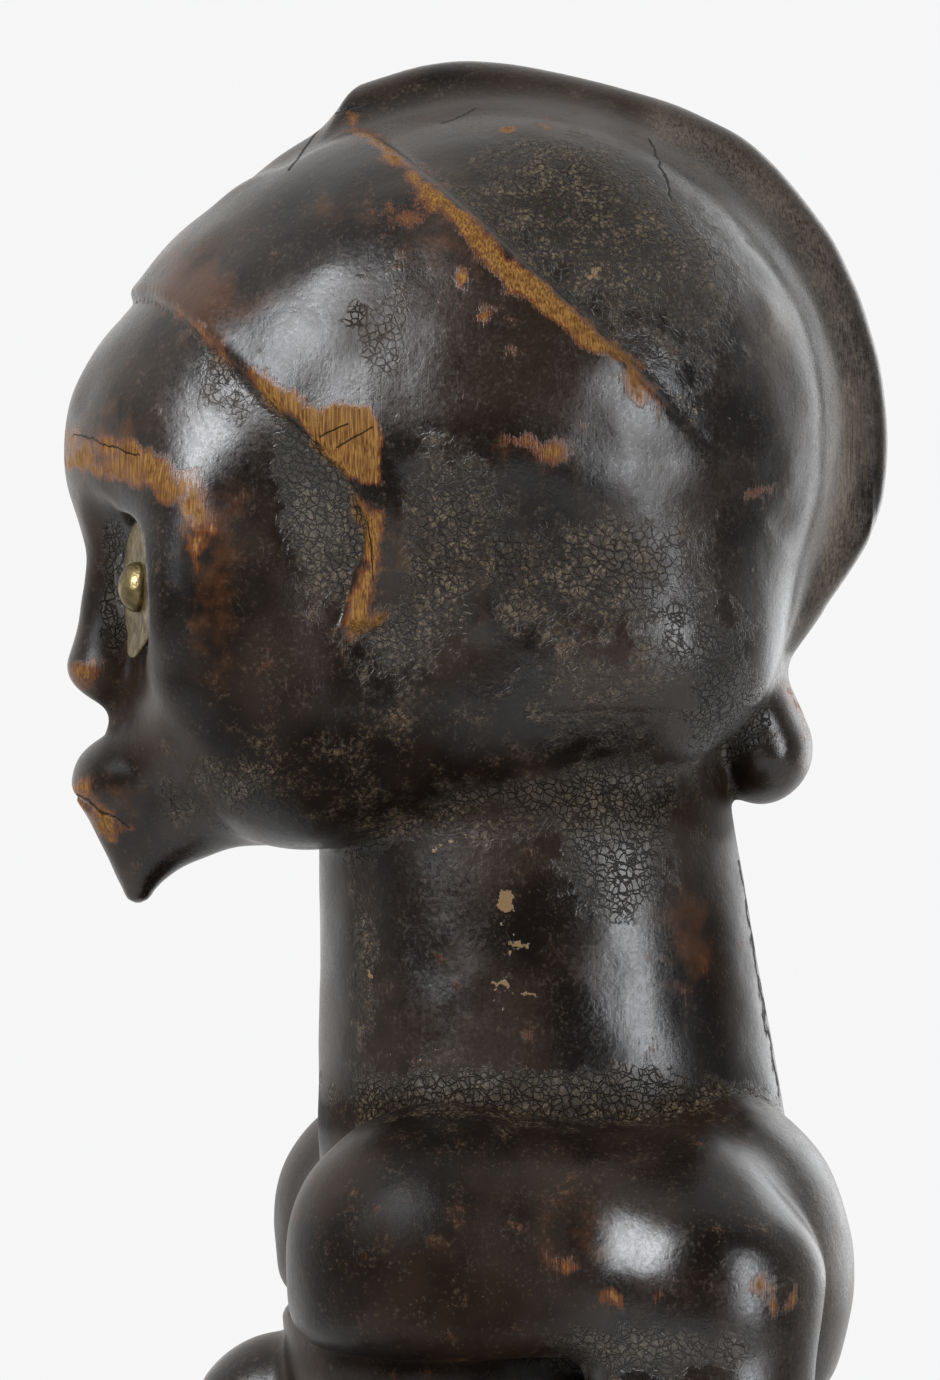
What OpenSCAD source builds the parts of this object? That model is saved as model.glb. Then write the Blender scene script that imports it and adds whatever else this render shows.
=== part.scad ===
// Carved guardian figure: one block of wood with brass eyes.
// Millimetres, +Z up. The figure faces -Y and its own left side is at +X.
// The origin is the centre of the plinth's underside.
// Every place below is given for a figure 500 mm tall, which scale_k brings to the chosen height.

/* [Figure] */
// Overall height, from the underside of the plinth to the crown
height = 500; // [350:10:650]
// Width across the shoulders
shoulder_w = 152; // [144:2:164]
// Width of the round plinth
plinth_w = 128; // [120:2:140]
// Depth of the round plinth
plinth_d = 140; // [130:2:156]
// Thickness of the plinth
plinth_t = 14; // [10:1:16]

/* [Head and neck] */
// Width of the head at its widest
head_w = 124; // [116:2:132]
// Width of the neck
neck_w = 78; // [70:2:84]
// How far the keel along the middle of the hair stands out of the cap
crest_h = 5; // [3:0.5:7]
// How far the hair's front roll stands out of the skin and the cap
hair_step = 2; // [1:0.5:3]

/* [Eyes] */
// Diameter of a brass eye plate
plate_d = 26; // [22:1:28]
// Thickness of an eye plate
plate_t = 0.8; // [0.6:0.1:1.2]
// Distance between the centres of the two eyes
eye_spread = 48; // [44:1:52]
// Turn of an eye plate outward from straight ahead, in degrees
eye_turn = 13; // [6:1:16]
// Diameter of the nail's domed head
nail_head_d = 9.6; // [8:0.2:11]
// Height of the nail's domed head
nail_head_h = 3.6; // [2.5:0.1:4.5]
// Diameter of the nail's shank
shank_d = 2; // [1.6:0.1:2.4]
// Length of the shank behind the head
shank_len = 15; // [10:1:18]
// Thickness of the resin bed behind a plate
resin_t = 3; // [2:0.5:4]

/* [Hidden] */

design_height = 500;
scale_k = height / design_height;

wood = [0.16, 0.11, 0.08];
brass = [0.52, 0.46, 0.28];
resin = [0.10, 0.08, 0.07];

head_at = [0, 8, 424];          // centre of the skull
head_front = -82;               // front of the forehead
head_back = 82;                 // back of the hair's keel
crown_z = design_height;
neck_top_z = 352;
neck_foot_z = 284;
shoulder_z = 264;
waist_z = 165;
hip_z = 128;
knee_z = 86;
ankle_z = 26;

skull_r = [head_w / 2 - hair_step, head_back - head_at.y - crest_h, crown_z - head_at.z - crest_h];
plate_centre = [eye_spread / 2, -66.5, 394];
resin_d = plate_d - 3;
shank_clear = 0.1;              // the plate's hole is this much wider than the shank
side_x = shoulder_w / 2;

// An egg shape with its centre and its three radii. facets is a multiple of 4.
module egg(centre, radii, facets = 16, turn = [0, 0, 0]) {
    translate(centre) rotate(turn) scale(radii) rotate_extrude($fn = facets) intersection() {
        circle(r = 1, $fn = facets);
        translate([0, -1]) square([1, 2]);
    }
}

// Two egg shapes and everything between them
module limb(from, from_r, to, to_r) {
    hull() {
        egg(from, from_r);
        egg(to, to_r);
    }
}

module both_sides() {
    children();
    mirror([1, 0, 0]) children();
}

// A half space above and behind a plane that slopes down towards the back
module behind_plane(through, slope) {
    big = 400;
    translate(through) rotate([-slope, 0, 0]) translate([-big / 2, -big / 2, 0]) cube(big);
}

// Skull and forehead, grown by the given amount all round
module skull(grow = 0) {
    forehead_r = [50, 46, 42];
    hull() {
        egg(head_at, skull_r + [grow, grow, grow], 28);
        egg([0, head_front + forehead_r.y, head_at.z], forehead_r + [grow, 0, grow], 28);
    }
}

// The hair: a raised front roll, a keel along the middle and a knob at the nape
module hair() {
    roll_through = [0, -67, 455];
    roll_slope = 46;
    cap_through = [0, -24, 485];
    cap_slope = 42;
    difference() {
        intersection() {
            skull(hair_step);
            behind_plane(roll_through, roll_slope);
        }
        behind_plane(cap_through, cap_slope);
    }
    keel_r = [11, head_back - head_at.y, crown_z - head_at.z];
    intersection() {
        egg(head_at, keel_r, 28);
        translate([-keel_r.x, -40, 380]) cube([2 * keel_r.x, 200, 200]);
    }
    egg([0, 55, 363], [20, 13, 15]);
}

// Cheeks, jaw and pointed chin below the forehead
module face_mass() {
    lips = [0, -68, 355];
    chin = [0, -65, 337];
    hull() {
        both_sides() egg([28, -6, 378], [29, 48, 36], 20);
        egg([0, -46, 388], [30, 27, 34], 20);
    }
    hull() {
        both_sides() egg([26, -12, 368], [26, 34, 26], 20);
        egg([0, -52, 358], [17, 15, 15]);
    }
    limb([0, -58, 358], [20, 14, 14], lips, [15, 13, 8]);
    limb(lips, [13, 11, 8], chin, [6, 5, 5]);
    limb([0, -50, 356], [16, 14, 12], chin, [6, 5, 5]);
}

module nose() {
    limb([0, -72, 404], [6, 7, 10], [0, -74, 380], [8, 7, 7]);
}

// Hollow round each eye, between the brow and the cheek
module eye_hollows() {
    both_sides() egg([23, -87, 388], [15, 22, 24], 20, [0, 0, 8]);
}

module neck() {
    top_r = [neck_w / 2, 42.5];
    foot_r = [neck_w / 2 + 2, 46.5];
    hull() {
        translate([0, 12, neck_top_z]) scale([top_r.x, top_r.y, 1]) cylinder(r = 1, h = 1, $fn = 32);
        translate([0, 15, neck_foot_z]) scale([foot_r.x, foot_r.y, 1]) cylinder(r = 1, h = 1, $fn = 32);
    }
}

// Chest, shoulders and shoulder blades
module shoulders() {
    both_sides() {
        hull() {
            egg([36, -8, shoulder_z], [32, 31, 25]);
            egg([side_x - 24, 42, shoulder_z + 2], [24, 24, 25]);
            egg([18, 46, shoulder_z - 4], [30, 30, 26]);
            egg([14, 0, shoulder_z], [30, 37, 24]);
        }
    }
}

// One arm: upper arm, bulging forearm and a fist at the given height
module arm(fist_z) {
    shoulder_at = [side_x - 22, 40, shoulder_z];
    elbow = [side_x - 17, 36, 198];
    forearm = [side_x - 22, 6, 204];
    wrist = [34, -26, fist_z - 6];
    fist = [15, -36, fist_z];
    limb(shoulder_at, [20, 23, 18], elbow, [16, 19, 18]);
    limb(elbow, [15, 18, 17], forearm, [17, 19, 18]);
    limb(forearm, [16, 17, 17], wrist, [12, 13, 13]);
    limb(wrist, [12, 13, 13], fist, [17, 21, 20]);
}

module trunk() {
    navel_at = [0, -30, 176];
    hull() {
        translate([0, 6, 240]) scale([38, 43, 1]) cylinder(r = 1, h = 6, $fn = 32);
        egg([0, 4, waist_z + 22], [33, 37, 22], 20);
    }
    limb([0, 4, waist_z + 20], [33, 37, 22], [0, 8, hip_z + 4], [47, 39, 24]);
    limb(navel_at, [8, 9, 8], navel_at + [0, -9, -2], [6, 6, 6]);
    both_sides() egg([23, 28, hip_z - 2], [27, 28, 28], 20);
}

// One bent leg with its foot on the plinth
module leg() {
    hip = [32, 12, hip_z - 4];
    knee = [37, -24, knee_z];
    calf = [36, 18, 54];
    ankle = [35, 18, ankle_z];
    foot_z = plinth_t + 8;
    limb(hip, [27, 31, 26], knee, [20, 21, 20]);
    limb(knee, [18, 19, 18], calf, [21, 25, 22]);
    limb(calf, [20, 23, 20], ankle, [15, 17, 12]);
    hull() {
        egg([35, 26, foot_z], [16, 16, 12]);
        egg([35, 16, ankle_z + 2], [14, 15, 12]);
        egg([37, -32, foot_z - 3], [18, 17, 8]);
    }
}

module plinth() {
    scale([plinth_w / 2, plinth_d / 2, 1]) cylinder(r = 1, h = plinth_t, $fn = 64);
}

// Puts its children at the left eye, with +Z along the nail and out of the face
module at_eye() {
    translate(plate_centre) rotate([90, 0, 0]) rotate([0, eye_turn, 0]) children();
}

module eye_seat() {
    at_eye() {
        translate([0, 0, -resin_t]) cylinder(d = resin_d, h = resin_t + 20, $fn = 48);
        cylinder(d = plate_d + 1, h = 20, $fn = 48);
        translate([0, 0, plate_t - shank_len]) cylinder(d = shank_d, h = shank_len, $fn = 16);
    }
}

module carved_figure() {
    color(wood) scale(scale_k) difference() {
        union() {
            difference() {
                union() {
                    skull();
                    face_mass();
                }
                eye_hollows();
            }
            nose();
            hair();
            neck();
            shoulders();
            arm(206);
            mirror([1, 0, 0]) arm(222);
            trunk();
            both_sides() leg();
            plinth();
        }
        both_sides() eye_seat();
    }
}

module eye_plate() {
    color(brass) scale(scale_k) at_eye() difference() {
        cylinder(d = plate_d, h = plate_t, $fn = 64);
        translate([0, 0, -1]) cylinder(d = shank_d + 2 * shank_clear, h = plate_t + 2, $fn = 32);
    }
}

// Domed head on the plate, with its shank down into the wood
module eye_nail() {
    head_r = nail_head_d / 2;
    ball_r = (head_r * head_r + nail_head_h * nail_head_h) / (2 * nail_head_h);
    color(brass) scale(scale_k) at_eye() {
        translate([0, 0, plate_t]) intersection() {
            translate([0, 0, nail_head_h - ball_r]) sphere(r = ball_r, $fn = 64);
            cylinder(d = nail_head_d, h = nail_head_h, $fn = 64);
        }
        translate([0, 0, plate_t - shank_len]) cylinder(d = shank_d, h = shank_len, $fn = 32);
    }
}

module eye_resin() {
    color(resin) scale(scale_k) at_eye() translate([0, 0, -resin_t]) difference() {
        cylinder(d = resin_d, h = resin_t, $fn = 64);
        translate([0, 0, -1]) cylinder(d = shank_d, h = resin_t + 2, $fn = 32);
    }
}

module eye_plate_left() eye_plate();
module eye_plate_right() mirror([1, 0, 0]) eye_plate();
module eye_nail_left() eye_nail();
module eye_nail_right() mirror([1, 0, 0]) eye_nail();
module eye_resin_left() eye_resin();
module eye_resin_right() mirror([1, 0, 0]) eye_resin();

carved_figure();
eye_plate_left();
eye_plate_right();
eye_nail_left();
eye_nail_right();
eye_resin_left();
eye_resin_right();
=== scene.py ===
"""A carved wooden guardian figure with brass eyes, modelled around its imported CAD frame.

The figure is sculpted as clay on a grid: each grid point holds the distance in millimetres to the
surface, eggs and limbs are blended on and cut away, and the surface is then turned into a mesh.
Millimetres here are those of the figure at its design height; MM turns them into metres.
+Z is up, the figure faces -Y, and its own left side is at +X.
"""

import math
from types import SimpleNamespace

import bpy
import numpy as np
import openvdb
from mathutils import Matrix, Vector


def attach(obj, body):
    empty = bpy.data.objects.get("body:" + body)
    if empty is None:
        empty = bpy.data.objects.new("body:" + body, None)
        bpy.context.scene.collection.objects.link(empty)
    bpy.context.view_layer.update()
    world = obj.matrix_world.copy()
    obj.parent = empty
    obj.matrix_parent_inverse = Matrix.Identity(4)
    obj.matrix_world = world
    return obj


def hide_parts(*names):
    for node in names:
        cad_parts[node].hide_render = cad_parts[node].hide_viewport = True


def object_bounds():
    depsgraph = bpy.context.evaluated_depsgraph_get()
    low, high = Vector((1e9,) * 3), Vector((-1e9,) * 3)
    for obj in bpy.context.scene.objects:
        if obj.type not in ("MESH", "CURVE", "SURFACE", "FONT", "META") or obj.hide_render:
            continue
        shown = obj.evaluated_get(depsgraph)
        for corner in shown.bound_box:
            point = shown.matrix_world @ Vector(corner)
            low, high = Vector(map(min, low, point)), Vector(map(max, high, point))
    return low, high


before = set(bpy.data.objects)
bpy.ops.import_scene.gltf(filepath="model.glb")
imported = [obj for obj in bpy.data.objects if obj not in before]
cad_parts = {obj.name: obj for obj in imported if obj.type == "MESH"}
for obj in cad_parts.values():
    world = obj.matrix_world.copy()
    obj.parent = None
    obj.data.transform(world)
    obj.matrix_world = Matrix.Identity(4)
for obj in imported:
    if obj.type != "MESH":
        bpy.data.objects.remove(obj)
CAD_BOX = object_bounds()

DESIGN_HEIGHT = 500.0
MM = (CAD_BOX[1].z - CAD_BOX[0].z) / DESIGN_HEIGHT

# The camera stands square to the figure's left side, but for a small turn ahead of it
VIEW_AIM = (0.0, -0.9, 374.0)   # what it looks at
VIEW_AHEAD = 4.0                # degrees
VIEW_HEIGHT = 276.0             # how much of the figure the picture takes in
LENS = 135.0
FILM = 36.0
VIEW_FROM = VIEW_HEIGHT * LENS / FILM


def sin_cos(degrees):
    turn = math.radians(degrees)
    return math.sin(turn), math.cos(turn)


# ---------------------------------------------------------------- clay

FAR = 40.0                      # distance given to grid points that no shape has reached
MARGIN = 9.0                    # how far round a shape its distance is worked out


def spaced(low, high, step):
    return np.arange(low, high + step, step, dtype=np.float32)


def smooth_min(a, b, blend):
    """The smaller of two distances, with a fillet about as wide as blend."""
    if blend <= 0:
        return np.minimum(a, b)
    near = np.maximum(blend - np.abs(a - b), 0) / blend
    return np.minimum(a, b) - near * near * blend * 0.25


def smooth_max(a, b, blend):
    return -smooth_min(-a, -b, blend)


def egg_distance(x, y, z, radii):
    rx, ry, rz = radii
    k = np.sqrt((x / rx) ** 2 + (y / ry) ** 2 + (z / rz) ** 2) + 1e-6
    slope = np.sqrt((x / rx**2) ** 2 + (y / ry**2) ** 2 + (z / rz**2) ** 2) + 1e-6
    return k * (k - 1) / slope


def egg(centre, radii, tilt=0.0):
    """An egg shape. tilt in degrees turns its front end down."""
    centre = np.array(centre, float)
    reach = max(radii) if tilt else np.array(radii, float)
    s, c = sin_cos(tilt)

    def distance(x, y, z):
        x, y, z = x - centre[0], y - centre[1], z - centre[2]
        return egg_distance(x, c * y + s * z, c * z - s * y, radii)

    return centre - reach, centre + reach, distance


def limb(start, start_r, end, end_r):
    """A limb between two egg-shaped ends."""
    a, b = np.array(start, float), np.array(end, float)
    ra, rb = np.array(start_r, float), np.array(end_r, float)
    along = b - a

    def distance(x, y, z):
        x, y, z = x - a[0], y - a[1], z - a[2]
        t = (x * along[0] + y * along[1] + z * along[2]) / (along @ along)
        t = np.clip(t, 0, 1)
        rx, ry, rz = (ra[i] + (rb[i] - ra[i]) * t for i in range(3))
        return egg_distance(x - along[0] * t, y - along[1] * t, z - along[2] * t, (rx, ry, rz))

    return np.minimum(a - ra, b - rb), np.maximum(a + ra, b + rb), distance


class Clay:
    """Clay on a grid that may be finer in some places than in others."""

    def __init__(self, axes):
        self.axes = axes
        self.dist = np.full([len(a) for a in axes], FAR, np.float32)

    def window(self, low, high):
        """The grid points in a box, as slices, and their coordinates."""
        cut = tuple(
            slice(*np.searchsorted(a, (lo, hi))) for a, lo, hi in zip(self.axes, low, high)
        )
        x, y, z = (a[c] for a, c in zip(self.axes, cut))
        return cut, x[:, None, None], y[None, :, None], z[None, None, :]

    def _work(self, shape, blend, how, both):
        low, high, distance = shape
        low, high = np.array(low) - blend - MARGIN, np.array(high) + blend + MARGIN
        sides = [(low, high, False)]
        if both:
            mirrored_low = np.array([-high[0], low[1], low[2]])
            mirrored_high = np.array([-low[0], high[1], high[2]])
            if low[0] < 0:
                sides = [(np.minimum(low, mirrored_low), np.maximum(high, mirrored_high), True)]
            else:
                sides = [(low, high, True), (mirrored_low, mirrored_high, True)]
        for lo, hi, folded in sides:
            cut, x, y, z = self.window(lo, hi)
            d = distance(np.abs(x) if folded else x, y, z).astype(np.float32)
            self.dist[cut] = how(self.dist[cut], d, blend)

    def add(self, shape, blend=0.0, both=False):
        """Blends a shape on, on both sides of the figure if asked."""
        self._work(shape, blend, smooth_min, both)

    def cut(self, shape, blend=0.0, both=False):
        """Takes a shape away."""
        self._work(shape, blend, lambda old, d, k: smooth_max(old, -d, k), both)

    def mesh(self):
        """The surface's vertices, in mm, and its quads."""
        grid = openvdb.FloatGrid()
        grid.background = FAR
        grid.copyFromArray(self.dist)
        places, _, quads = grid.convertToPolygons(isovalue=0.0, adaptivity=0.0)
        index = [np.arange(len(a)) for a in self.axes]
        points = np.stack(
            [np.interp(places[:, i], index[i], self.axes[i]) for i in range(3)], axis=1
        )
        return points, quads


# ---------------------------------------------------------------- the figure's shapes

HEAD_Z = 424                    # level of the middle of the skull
CROWN_Z = DESIGN_HEIGHT
SHOULDER_Z = 264
SHELF_Z = 247                   # underside of the chest and shoulder blades
PLINTH_T = 14

# Slanting edges on the head: a point on each, and its slope in degrees down towards the back
HAIRLINE = ((0, -60.3, 447.5), 46)
ROLL_END = ((0, -24.7, 486.5), 45)
CROWN_SLOPE = ((0, 30, 493.4), 13)
NAPE = ((0, 62.6, 380), -53)
ROLL_STEP = 2.4                 # how far the front roll stands above the skin and the cap

PLATE_AT = (24, -66.5, 394)     # centre of the back of the left eye's plate
PLATE_R = 13
PLATE_T = 0.8
EYE_TURN = 13                   # how far the eye looks outwards, in degrees


def slope_plane(place, y, z):
    """Height over a plane that slopes down towards the back."""
    (_, py, pz), degrees = place
    s, c = sin_cos(degrees)
    return (y - py) * s + (z - pz) * c


def skull(clay):
    clay.add(egg((0, 5, HEAD_Z), (60, 66, 66)))
    clay.add(egg((0, -22, 436), (46, 42, 41)), 12)
    clay.add(egg((0, -34, HEAD_Z - 2), (46, 47.5, 40.5)), 9)


def keel(clay):
    """The ridge of hair along the middle of the head: a broad swell with a fin on it."""
    centre_y = 7
    fin_half_t = 3.5
    fin_front_y = -26
    clay.add(egg((0, centre_y, HEAD_Z), (23, 71.5, 71.5)), 6)

    def fin(x, y, z):
        edge = egg_distance(0 * x, y - centre_y, z - HEAD_Z, (1, 76.4, 77.0))
        edge = smooth_max(edge, slope_plane(CROWN_SLOPE, y, z), 5)
        flat = np.maximum(np.abs(x) - fin_half_t, fin_front_y - y)
        return smooth_max(edge, flat, 5)

    clay.add(((-6, -66, 370), (6, 84, CROWN_Z + 2), fin), 7)
    cut, x, y, z = clay.window((-60, 44, 370), (60, 90, 412))
    clay.dist[cut] = smooth_max(clay.dist[cut], -slope_plane(NAPE, y, z) + 0 * x, 4)


def forelock(clay):
    """Where the front roll bulges over the forehead."""
    clay.add(egg((0, -46, 451), (28, 17, 15.6)), 3)


def jaw(clay):
    clay.add(limb((21, -30, 368.5), (23, 27, 25), (20, 24, 384), (34, 34, 28)), 12, both=True)
    clay.add(egg((0, -40, 386), (46, 27, 42)), 12)


def cheek_rim(clay):
    """Raised rim round the outside of each eye, from the brow to the cheek."""
    clay.add(limb((30, -53, 409), (12, 11, 9), (34, -52, 394), (8.5, 11.3, 10)), 13, both=True)
    clay.add(limb((34, -52, 394), (8.5, 11.3, 10), (29, -52, 378), (11, 11, 10)), 13, both=True)


def muzzle(clay):
    clay.add(limb((0, -50, 372), (26, 17, 14), (0, -67, 357), (15, 13, 9)), 11)
    clay.add(limb((0, -66, 353), (13, 14, 8), (0, -67.2, 334.2), (4, 2.6, 2.6)), 3)
    clay.add(limb((0, -44, 360.5), (24, 18, 15), (0, -66.2, 338.5), (4, 2.6, 3)), 5)


def nose(clay):
    clay.add(limb((0, -70, 412), (8, 7, 12), (0, -71, 394), (5, 6, 10)), 6)
    clay.add(limb((0, -71, 394), (5, 6, 8), (0, -73.5, 379), (8, 7.5, 6.5)), 4)


def mouth(clay):
    clay.cut(limb((0, -80.5, 354), (1, 1.6, 0.7), (13, -74, 346.5), (1, 1.4, 0.6)), 0.8, both=True)


def at_eye(u, v, w):
    """A place given across, up and out of the left eye's plate, from the centre of the plate's back."""
    s, c = sin_cos(EYE_TURN)
    x, y, z = PLATE_AT
    return x + u * c + w * s, y + u * s - w * c, z + v


def eye_sockets(clay):
    """A hollow between the brow, the nose and the cheek, and a round seat for the plate in it."""
    clay.cut(egg((19, -83, 396), (14, 17, 17), 8), 3, both=True)
    seat_r = PLATE_R + 1.0
    back = -0.6                     # the seat's two ends, out from the plate's back
    front = 22.6

    def seat(x, y, z):
        s, c = sin_cos(EYE_TURN)
        x, y, z = x - PLATE_AT[0], y - PLATE_AT[1], z - PLATE_AT[2]
        out = x * s - y * c
        rim = np.sqrt((x * c + y * s) ** 2 + z * z) - seat_r
        return smooth_max(rim, np.abs(out - (front + back) / 2) - (front - back) / 2, 1)

    clay.cut(((8, -92, 378), (42, -60, 410), seat), 1.6, both=True)


def smooth_step(low, high, value):
    t = np.clip((value - low) / (high - low), 0, 1)
    return t * t * (3 - 2 * t)


def hair_roll(clay):
    """Raises the front roll of the hair, and the lock in front of the ear, above what lies under them."""
    cut, x, y, z = clay.window((-90, -95, 370), (90, 80, 520))
    under = clay.dist[cut]
    fades_below = smooth_step(-10, 22, slope_plane(((0, 0, 408), -24), y, z))
    fades_at_keel = smooth_step(5, 20, np.abs(x) + 0.8 * np.maximum(-38 - y, 0))
    raised = under - ROLL_STEP * fades_below * fades_at_keel
    dips_in_front = 3 * np.exp(-((x / 16) ** 2))
    hairline = slope_plane(HAIRLINE, y, z) + dips_in_front
    roll = smooth_max(raised, smooth_max(-hairline, slope_plane(ROLL_END, y, z), 2), 2.6)
    front_z = (384, 388, 396, 400, 406, 416)
    front_y = (-30, -28, -26.5, -24.5, -24, -28)
    behind = y - np.interp(z, front_z, front_y)
    lock = under - ROLL_STEP * (1 - smooth_step(4, 17, behind)) * smooth_step(384, 388, z)
    lock = smooth_max(lock, np.maximum(-behind, z - 417), 1.6)
    clay.dist[cut] = smooth_min(smooth_min(under, roll, 1.0), lock, 1.0)


def nape_knob(clay):
    clay.add(limb((0, 52, 374.5), (17, 11, 8), (0, 57.6, 362.3), (16, 10.3, 11.5)), 4)


def neck(clay):
    clay.add(limb((0, 16.5, 272), (40, 47.8, 40), (0, 10.0, 352), (38.5, 40.9, 40)), 3)


def chest(clay):
    """Chest, shoulders and shoulder blades as one thick mass with a flat shelf under it."""
    mass = Clay(clay.axes)
    mass.add(limb((36, -8.5, 267), (30, 29, 26), (36, -8.5, 256), (30, 29.5, 26)), both=True)
    mass.add(limb((36, -8.5, 264), (30, 29.5, 29), (42, 38, SHOULDER_Z), (26, 21, 26)), 4, both=True)
    mass.add(egg((56, 37.5, SHOULDER_Z - 3), (19, 19.5, 21)), 7, both=True)
    mass.add(limb((0, -2, SHOULDER_Z), (34, 33, 26), (0, 40, SHOULDER_Z), (40, 30, 27)), 9)
    mass.add(egg((22, 43.5, 259), (34, 29.5, 37)), 4, both=True)
    cut, x, y, z = clay.window((-90, -50, 220), (90, 90, 310))
    drops_at_back = 14 * smooth_step(12, 34, y)
    shelf_z = SHELF_Z - drops_at_back
    above_shelf = smooth_max(mass.dist[cut], shelf_z - z + 0 * x, 8)
    clay.dist[cut] = smooth_min(clay.dist[cut], above_shelf, 2)


def trunk(clay):
    clay.add(limb((0, 6, 248), (38, 44.4, 12), (0, 4, 190), (33, 37, 20)), 3)
    clay.add(limb((0, 4, 190), (33, 37, 20), (0, 8, 134), (45, 38, 22)), 8)
    clay.add(limb((0, -28, 176), (9, 9, 9), (0, -40, 174), (5.5, 5, 5.5)), 6)
    clay.add(egg((22, 29, 128), (27, 27, 27)), 5, both=True)


def arm(clay, side, fist_z):
    """One arm, on the side given as 1 or -1, with its fist at the given height."""
    def at(x, y, z):
        return side * x, y, z

    elbow = at(59, 36, 200)
    forearm = at(54, 6, 204)
    wrist = at(34, -26, fist_z - 6)
    fist = at(15, -36, fist_z)
    clay.add(limb(at(54, 40, 262), (20, 23, 18), elbow, (15, 19, 17)), 3)
    clay.add(limb(elbow, (15, 18, 17), forearm, (17, 19, 18)), 6)
    clay.add(limb(forearm, (16, 17, 17), wrist, (12, 13, 13)), 6)
    clay.add(limb(wrist, (12, 13, 13), fist, (17, 21, 20)), 5)
    finger_gap = 8.0
    for i in (-1, 0, 1):
        height = fist_z + i * finger_gap
        clay.cut(limb(at(-2, -57, height), (5, 2, 1), at(24, -54, height), (5, 2, 1)), 1.5)


def leg(clay):
    clay.add(limb((32, 12, 124), (27, 31, 26), (37, -22, 88), (19, 20, 20)), 6, both=True)
    clay.add(egg((37, -30, 92), (14, 13, 12)), 5, both=True)
    clay.add(limb((37, -22, 86), (17, 18, 18), (36, 16, 54), (20, 25, 22)), 4, both=True)
    clay.add(limb((36, 16, 54), (19, 23, 20), (35, 18, 26), (15, 16, 12)), 5, both=True)


def foot(clay):
    top = PLINTH_T
    clay.add(limb((35, 24, top + 8), (16, 17, 13), (37, -30, top + 4), (18, 17, 8)), 5, both=True)
    for i in (-1.5, -0.5, 0.5, 1.5):
        x = 37 + i * 7
        clay.cut(limb((x, -52, top + 7), (0.9, 8, 5), (x, -38, top + 11), (0.9, 6, 4)), 1.4, both=True)


def plinth(clay):
    half_w, half_d, half_t = 64, 70, PLINTH_T / 2

    def distance(x, y, z):
        wall = egg_distance(x, y, 0 * z, (half_w, half_d, 1))
        return smooth_max(wall, np.abs(z - half_t) - half_t + 0 * wall, 3)

    clay.add(((-half_w, -half_d, 0), (half_w, half_d, PLINTH_T), distance), 2)


def sculpt():
    fine, medium, coarse = 0.8, 1.0, 1.5        # steps of the grid
    heights = np.concatenate(
        [spaced(-6, 222, coarse)[:-1], spaced(222, 330, medium)[:-1], spaced(330, 508, fine)]
    )
    clay = Clay([spaced(-84, 84, fine), spaced(-90, 90, fine), heights])
    skull(clay)
    jaw(clay)
    cheek_rim(clay)
    eye_sockets(clay)
    nose(clay)
    keel(clay)
    forelock(clay)
    muzzle(clay)
    mouth(clay)
    hair_roll(clay)
    nape_knob(clay)
    neck(clay)
    chest(clay)
    trunk(clay)
    arm(clay, 1, 206)
    arm(clay, -1, 224.5)
    leg(clay)
    foot(clay)
    plinth(clay)
    return clay


# ---------------------------------------------------------------- surface detail

def smooth_noise(points, cell, seed):
    """Random values from -1 to 1 that change smoothly over about one cell, in mm."""
    side = 32
    values = np.random.default_rng(seed).uniform(-1, 1, (side, side, side))
    place = points / cell
    corner = np.floor(place).astype(int)
    t = place - corner
    t = t * t * (3 - 2 * t)
    total = np.zeros(len(points))
    for ix in (0, 1):
        for iy in (0, 1):
            for iz in (0, 1):
                weight = np.ones(len(points))
                for axis, step in enumerate((ix, iy, iz)):
                    weight = weight * (t[:, axis] if step else 1 - t[:, axis])
                at = (corner + (ix, iy, iz)) % side
                total += weight * values[at[:, 0], at[:, 1], at[:, 2]]
    return total


def vertex_normals(points, quads):
    across = points[quads[:, 2]] - points[quads[:, 0]]
    along = points[quads[:, 3]] - points[quads[:, 1]]
    face = np.cross(across, along)
    total = np.stack(
        [np.bincount(quads.ravel(), np.repeat(face[:, i], 4), len(points)) for i in range(3)], axis=1
    )
    return total / (np.linalg.norm(total, axis=1, keepdims=True) + 1e-9)


def bulge(points, quads, rounds):
    """How far each vertex stands out of the surface round it, in mm: more rounds look further."""
    start, end = quads.ravel(), np.roll(quads, -1, axis=1).ravel()
    count = np.bincount(start, minlength=len(points)) + np.bincount(end, minlength=len(points))

    def neighbours_mean(values):
        total = np.bincount(start, values[end], len(points))
        total += np.bincount(end, values[start], len(points))
        return total / count

    smoothed = points.copy()
    for _ in range(rounds):
        smoothed = np.stack([neighbours_mean(smoothed[:, i]) for i in range(3)], axis=1)
    return np.sum((points - smoothed) * vertex_normals(points, quads), axis=1)


def from_path(y, z, path):
    """Distance in the side view from each vertex to a path of (y, z) places."""
    nearest = np.full(len(y), FAR)
    for (ay, az), (by, bz) in zip(path, path[1:]):
        dy, dz = by - ay, bz - az
        t = np.clip(((y - ay) * dy + (z - az) * dz) / (dy * dy + dz * dz + 1e-9), 0, 1)
        nearest = np.minimum(nearest, np.hypot(y - ay - t * dy, z - az - t * dz))
    return nearest


def ridge(y, z, path, width, height):
    return height * np.exp(-((from_path(y, z, path) / width) ** 2))


def patches(y, z, places):
    """Soft patches in the side view, each (y, z, half length, half height, strength)."""
    total = np.zeros(len(y))
    for py, pz, ry, rz, strength in places:
        total += strength * np.exp(-(((y - py) / ry) ** 2) - ((z - pz) / rz) ** 2)
    return total


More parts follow.
